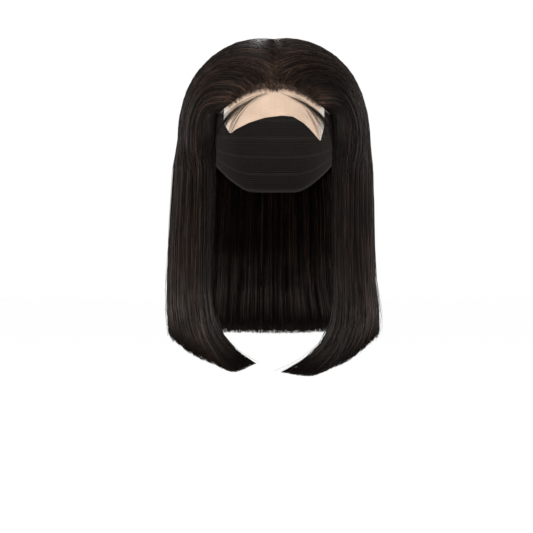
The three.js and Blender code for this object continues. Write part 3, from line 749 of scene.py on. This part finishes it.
class LaceSettings(bpy.types.PropertyGroup):
    """Size and colour of the lace panel."""

    colour: bpy.props.FloatVectorProperty(
        name="Colour", description="Colour of the lace",
        size=3, subtype="COLOR", default=(0.39, 0.283, 0.207))
    knot_colour: bpy.props.FloatVectorProperty(
        name="Knot colour", description="Colour of the net where hair is tied",
        size=3, subtype="COLOR", default=(0.11, 0.066, 0.049))
    raw_edge: bpy.props.FloatProperty(
        name="Raw edge", description="Width of the whiter net at each side edge",
        default=0.007, min=0, max=0.05, unit="LENGTH")
    mesh_size: bpy.props.FloatProperty(
        name="Hole size", description="Distance between the net's holes",
        default=0.0013, min=0.0003, max=0.01, unit="LENGTH")
    thickness: bpy.props.FloatProperty(
        name="Thickness", description="Thickness of the lace",
        default=0.0006, min=0.0002, max=0.001, unit="LENGTH")


class CapSettings(bpy.types.PropertyGroup):
    """Size and colour of the cap."""

    colour: bpy.props.FloatVectorProperty(
        name="Colour", description="Colour of the net",
        size=3, subtype="COLOR", default=(0.026, 0.021, 0.018))
    mesh_size: bpy.props.FloatProperty(
        name="Hole size", description="Distance between the net's holes",
        default=0.0022, min=0.0005, max=0.01, unit="LENGTH")
    row_spacing: bpy.props.FloatProperty(
        name="Row spacing", description="Distance between sewn rows of hair",
        default=0.009, min=0.002, max=0.05, unit="LENGTH")


class StageSettings(bpy.types.PropertyGroup):
    """Floor, light and camera."""

    floor_z: bpy.props.FloatProperty(
        name="Floor", description="Height of the floor",
        default=-0.47, unit="LENGTH")
    key_power: bpy.props.FloatProperty(
        name="Key light", description="Power of the upper softbox",
        default=9.0)
    crown_power: bpy.props.FloatProperty(
        name="Crown light", description="Power of the softbox behind the crown",
        default=17.0)
    rim_power: bpy.props.FloatProperty(
        name="Rim light", description="Power of each softbox beside the back",
        default=2.6)
    fill_power: bpy.props.FloatProperty(
        name="Fill light", description="Power of each side softbox",
        default=13.5)


class WIG_OT_hair(bpy.types.Operator):
    """Adds the backing and the strands of every section of hair"""

    bl_idname = "wig.hair"
    bl_label = "Hair"

    def execute(self, context):
        settings = context.scene.wig_hair
        strand = strand_material("Off-black hair strands", settings)
        backing = backing_material(settings)
        seed = 11
        for section in SECTIONS:
            for side in ("left", "right"):
                right = side == "right"
                node = f"{section}_{side}"
                base = hair_backing(f"{node}_backing", section, right, settings, seed + 30)
                finish_piece(base, backing, "hair", node)
                top = hair_strands(f"{node}_strands", section, right, settings, seed)
                finish_piece(top, strand, "hair", node)
                seed += 1
        return {"FINISHED"}


class WIG_OT_baby_hair(bpy.types.Operator):
    """Adds the fine hair and the short roots along the hairline"""

    bl_idname = "wig.baby_hair"
    bl_label = "Baby hair"

    def execute(self, context):
        hair = context.scene.wig_hair
        settings = context.scene.wig_baby_hair
        material = strand_material("Brown-black fine hair", hair, tuple(settings.root_colour))
        # Each wisp leaves from, bends towards and ends at a point of the front view, with its spread
        # and its share of the strands
        wisps = [
            ((0.004, -0.0475), (0.056, -0.0655), (0.0615, -0.098), 0.0011, 0.42),
            ((0.012, -0.049), (0.042, -0.061), (0.048, -0.096), 0.003, 0.08),
            ((0.02, -0.051), (0.046, -0.064), (0.0565, -0.0985), 0.002, 0.06),
        ]
        t = np.linspace(0, 1, 12)[None, :]
        for side in ("left", "right"):
            right = side == "right"
            rng = np.random.default_rng(71 + right)
            sets = []
            for first, bend, last, spread, part in wisps:
                count = int(settings.strands * part)
                begin = rng.uniform(0, 0.65, (count, 1))
                finish = 1 - rng.uniform(0, 0.35, (count, 1)) * (rng.random((count, 1)) < 0.4)
                s = begin + (finish - begin) * t
                x = (1 - s) ** 2 * first[0] + 2 * s * (1 - s) * bend[0] + s**2 * last[0]
                z = (1 - s) ** 2 * first[1] + 2 * s * (1 - s) * bend[1] + s**2 * last[1]
                dx = 2 * (1 - s) * (bend[0] - first[0]) + 2 * s * (last[0] - bend[0])
                dz = 2 * (1 - s) * (bend[1] - first[1]) + 2 * s * (last[1] - bend[1])
                length = np.hypot(dx, dz)
                aside = rng.normal(0, spread, (count, 1))
                aside = aside * (0.5 + 0.9 * np.sin(math.pi * s) + 0.4 * rng.random((count, 1)) * s)
                x = x + aside * dz / length
                z = z - aside * dx / length
                points = forehead_point(x, z, LACE_WALL + rng.uniform(0.0003, 0.0014, (count, 1)))
                taper = np.sin(math.pi * np.clip(0.12 + 0.8 * t, 0, 1))
                sets.append((points, np.broadcast_to(taper, x.shape)))
            count = settings.stubble
            share = rng.uniform(0.03, PARTING_START, (count, 1))
            _, _, _, turn, fall = walls(share, np.zeros((1, 1)), 0.0, False)
            root = head_point(turn, fall, LACE_WALL)[:, 0]
            root[:, 2:] -= 0.002 * near_parting(share)
            below = 0.0055 * rng.random((count, 1)) ** 2
            above = rng.uniform(0.0005, 0.005, (count, 1))
            lean = rng.normal(0, 0.45, (count, 1)) + 0.7 * root[:, :1] / 0.05
            u = t[:, ::2]
            way = -below + (below + above) * u
            x = root[:, :1] + way * np.sin(lean) + 0.0012 * u**2 * rng.normal(0, 1, (count, 1))
            z = root[:, 2:] + way * np.cos(lean)
            points = forehead_point(x, z, LACE_WALL + 0.0001 + 0.0012 * u**2)
            roots = (points, np.broadcast_to(0.3 + 0.35 * u, x.shape))
            laid = tuple(np.concatenate(part) for part in zip(*sets))
            parts = []
            for points, taper in (laid, roots):
                out = points - np.array([0, 0, -CROWN])
                out /= np.linalg.norm(out, axis=-1, keepdims=True)
                radius = settings.width / 2 * taper * rng.uniform(0.6, 1.1, (len(points), 1))
                tone = rng.uniform(*((0.3, 0.86) if taper is laid[1] else (0.7, 1.0)), len(points))
                along = np.linspace(0.3, 0.7, points.shape[1])
                parts.append((mirrored(points, right), mirrored(out, right), radius, tone, along))
            obj = joined_strands(f"baby_hair_{side}_strands", parts)
            finish_piece(obj, material, "hair", f"baby_hair_{side}")
        return {"FINISHED"}


class WIG_OT_lace(bpy.types.Operator):
    """Adds the lace panel"""

    bl_idname = "wig.lace"
    bl_label = "Lace panel"

    def execute(self, context):
        settings = context.scene.wig_lace
        bm = bmesh.new()
        bmesh.ops.create_grid(bm, x_segments=52, y_segments=60, size=0.5)
        uv = bm.loops.layers.uv.new("UVMap")
        verts = bm.verts[:]
        across = np.array([2 * v.co.x for v in verts])
        along = np.array([v.co.y + 0.5 for v in verts])
        points = self.panel_points(across, along, LACE_WALL - 0.0001)
        for face in bm.faces:
            for loop in face.loops:
                loop[uv].uv = (2 * loop.vert.co.x * LACE_HALF, (loop.vert.co.y + 0.5) * 0.13)
        for vert, p in zip(verts, points):
            vert.co = p
        grown = bmesh.ops.extrude_face_region(bm, geom=bm.faces[:], use_keep_orig=True)
        lower = [v for v in grown["geom"] if isinstance(v, bmesh.types.BMVert)]
        centre = Vector((0, 0, -CROWN))
        for vert in lower:
            vert.co -= (vert.co - centre).normalized() * settings.thickness
        obj = closed_object(bm, "lace_front_net")
        finish_piece(obj, lace_material(settings), "lace", "lace_front")
        return {"FINISHED"}

    def panel_points(self, across, along, offset):
        """The panel's points: from its seam over the head down to its uncut lower edge."""
        x = across * LACE_HALF
        low = -np.interp(across, LACE_EDGE[:, 0], LACE_EDGE[:, 1]) * LACE_TAB_DROP
        half, depth = HEAD_BREADTH / 2 + offset, HEAD_FRONT + offset
        inset = 1 - (x / half) ** 2
        up = np.clip((low + CROWN) / (CROWN + offset), 0, 1)
        out = (1 - up**SQUARENESS) ** (1 / SQUARENESS)
        last = np.arcsin(np.sqrt(np.clip((out**2 - (x / half) ** 2) / inset, 0, 1)))
        first = -LACE_SEAM / depth
        angle = mix(first, last, along)
        y = -depth * np.sqrt(inset) * np.sin(angle)
        out = np.sqrt((x / half) ** 2 + (y / depth) ** 2)
        z = (CROWN + offset) * (1 - np.minimum(out, 1) ** SQUARENESS) ** (1 / SQUARENESS) - CROWN
        z = z - np.maximum(-CROWN - low, 0) * smooth(along, 0.88, 1)
        return np.stack([x, y, z], -1)


class WIG_OT_cap(bpy.types.Operator):
    """Adds the stretch cap, with its window for the lace and its ear tabs"""

    bl_idname = "wig.cap"
    bl_label = "Cap"

    def execute(self, context):
        settings = context.scene.wig_cap
        bm = bmesh.new()
        bmesh.ops.create_grid(bm, x_segments=96, y_segments=40, size=0.5)
        uv = bm.loops.layers.uv.new("UVMap")
        for face in bm.faces:
            for loop in face.loops:
                loop[uv].uv = ((loop.vert.co.x + 0.5) * 0.52, (loop.vert.co.y + 0.5) * 0.2)
        verts = bm.verts[:]
        turn = np.array([v.co.x + 0.5 for v in verts]) * math.tau
        level = np.array([v.co.y + 0.5 for v in verts])
        folded = np.degrees(np.minimum(turn, math.tau - turn))
        over_ear = np.exp(-(((folded - 88) / 14) ** 2))
        drop = mix(EAR_TAB_DROP, NAPE_DROP, smooth(80 - folded, 0, 60)) - EAR_TAB_DROP * 0.7 * over_ear
        fall = np.where(level < 0.75, level / 0.75, 1 + (level - 0.75) / 0.25 * drop / CROWN)
        points = head_point(turn, fall, CAP_WALL - 0.0002)
        for vert, p in zip(verts, points):
            vert.co = p
        bmesh.ops.remove_doubles(bm, verts=bm.verts[:], dist=0.00002)
        half, temple = LACE_HALF + LACE_GAP, TEMPLE_HALF + LACE_GAP
        tab_y = TEMPLE_BACK - HEAD_FRONT
        slope = Vector((TEMPLE_SLOPE, 0, temple - half)).normalized()
        for place, normal in (((half, 0, 0), (1, 0, 0)), ((-half, 0, 0), (1, 0, 0)),
                              ((0, LACE_SEAM + LACE_GAP, 0), (0, 1, 0)), ((temple, 0, 0), (1, 0, 0)),
                              ((-temple, 0, 0), (1, 0, 0)), ((0, tab_y, 0), (0, 1, 0)),
                              ((half, 0, -TEMPLE_DROP), slope),
                              ((-half, 0, -TEMPLE_DROP), (-slope.x, 0, slope.z))):
            whole = bm.verts[:] + bm.edges[:] + bm.faces[:]
            bmesh.ops.bisect_plane(bm, geom=whole, plane_co=place, plane_no=normal)
        gone = []
        for face in bm.faces:
            c = face.calc_center_median()
            brow = -TEMPLE_DROP - TEMPLE_SLOPE * max(abs(c.x) - half, 0) / (temple - half)
            window = abs(c.x) < half and c.y < LACE_SEAM + LACE_GAP
            opening = abs(c.x) < temple and c.y < tab_y and c.z < brow
            if window or opening:
                gone.append(face)
        bmesh.ops.delete(bm, geom=gone, context="FACES")
        bmesh.ops.recalc_face_normals(bm, faces=bm.faces[:])
        grown = bmesh.ops.extrude_face_region(bm, geom=bm.faces[:], use_keep_orig=True)
        centre = Vector((0, 0, -CROWN))
        for vert in grown["geom"]:
            if isinstance(vert, bmesh.types.BMVert):
                away = vert.co - centre
                if away.z < 0:
                    away.z = 0
                vert.co -= away.normalized() * (CAP_WALL - 0.0004)
        obj = closed_object(bm, "wig_cap_net")
        finish_piece(obj, cap_material(settings), "cap", "wig_cap")
        return {"FINISHED"}


class WIG_OT_stage(bpy.types.Operator):
    """Adds the floor, the lights and the camera"""

    bl_idname = "wig.stage"
    bl_label = "Stage"

    def execute(self, context):
        settings = context.scene.wig_stage
        bm = bmesh.new()
        bmesh.ops.create_grid(bm, x_segments=4, y_segments=4, size=20)
        bmesh.ops.translate(bm, verts=bm.verts[:], vec=(0, 0, settings.floor_z))
        mesh = bpy.data.meshes.new("floor")
        bm.to_mesh(mesh)
        bm.free()
        floor = bpy.data.objects.new("floor", mesh)
        material, _, shader, _ = node_material("Pale floor", 0.9)
        shader.inputs["Base Color"].default_value = (0.99, 0.99, 0.99, 1)
        shader.inputs["Specular IOR Level"].default_value = 0.0
        floor.data.materials.append(material)
        context.scene.collection.objects.link(floor)
        world = bpy.data.worlds.new("Soft studio")
        world.use_nodes = True
        world.node_tree.nodes["Background"].inputs["Color"].default_value = (1, 1, 1, 1)
        world.node_tree.nodes["Background"].inputs["Strength"].default_value = 1.0
        context.scene.world = world
        context.scene.view_settings.view_transform = "Standard"
        aim = Vector((0, 0, -0.12))
        for name, place, size, power in (
            ("upper_softbox", (-0.35, -0.75, 1.15), 0.7, settings.key_power),
            ("left_softbox", (-1.15, -1.2, -0.05), 0.6, settings.fill_power),
            ("right_softbox", (1.15, -1.2, -0.14), 0.6, settings.fill_power),
            ("crown_softbox", (-0.2, 0.85, 1.0), 0.24, settings.crown_power),
            ("left_rim_softbox", (-1.3, 0.55, 0.1), 0.6, settings.rim_power),
            ("right_rim_softbox", (1.3, 0.55, 0.1), 0.6, settings.rim_power),
        ):
            lamp = bpy.data.lights.new(name, "AREA")
            lamp.shape = "SQUARE"
            lamp.size = size
            lamp.energy = power
            light = bpy.data.objects.new(name, lamp)
            light.location = place
            light.rotation_euler = (aim - Vector(place)).to_track_quat("-Z", "Y").to_euler()
            context.scene.collection.objects.link(light)
        data = bpy.data.cameras.new("camera")
        data.lens = 200
        data.sensor_width = 36
        camera = bpy.data.objects.new("camera", data)
        width = VIEW_PIXELS * PIXEL_SIZE
        distance = width * data.lens / data.sensor_width
        camera.location = (-0.0079, -distance - 0.02, -0.227)
        camera.rotation_euler = (math.pi / 2, 0, 0)
        context.scene.collection.objects.link(camera)
        context.scene.camera = camera
        return {"FINISHED"}


class WIG_PT_panel(bpy.types.Panel):
    """Lists the wig's settings and pieces"""

    bl_label = "Bob wig"
    bl_idname = "WIG_PT_panel"
    bl_space_type = "VIEW_3D"
    bl_region_type = "UI"
    bl_category = "Wig"

    def draw(self, context):
        for group, operator in GROUPS.items():
            box = self.layout.box()
            settings = getattr(context.scene, group)
            for key in settings.bl_rna.properties.keys():
                if key not in ("rna_type", "name"):
                    box.prop(settings, key)
            box.operator(operator)


GROUPS = {
    "wig_cap": "wig.cap",
    "wig_lace": "wig.lace",
    "wig_hair": "wig.hair",
    "wig_baby_hair": "wig.baby_hair",
    "wig_stage": "wig.stage",
}
SETTINGS = {
    "wig_cap": CapSettings,
    "wig_lace": LaceSettings,
    "wig_hair": HairSettings,
    "wig_baby_hair": BabyHairSettings,
    "wig_stage": StageSettings,
}
CLASSES = [
    *SETTINGS.values(),
    WIG_OT_cap, WIG_OT_lace, WIG_OT_hair, WIG_OT_baby_hair, WIG_OT_stage, WIG_PT_panel,
]


def register():
    """Registers the classes and their settings."""
    for cls in CLASSES:
        bpy.utils.register_class(cls)
    for key, cls in SETTINGS.items():
        setattr(bpy.types.Scene, key, bpy.props.PointerProperty(type=cls))


def unregister():
    """Removes the settings and the classes."""
    for key in SETTINGS:
        delattr(bpy.types.Scene, key)
    for cls in reversed(CLASSES):
        bpy.utils.unregister_class(cls)


def main():
    """Makes every piece."""
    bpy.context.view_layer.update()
    register()
    bpy.ops.wig.stage()
    bpy.ops.wig.cap()
    bpy.ops.wig.lace()
    bpy.ops.wig.hair()
    bpy.ops.wig.baby_hair()


if __name__ == "__main__":
    main()
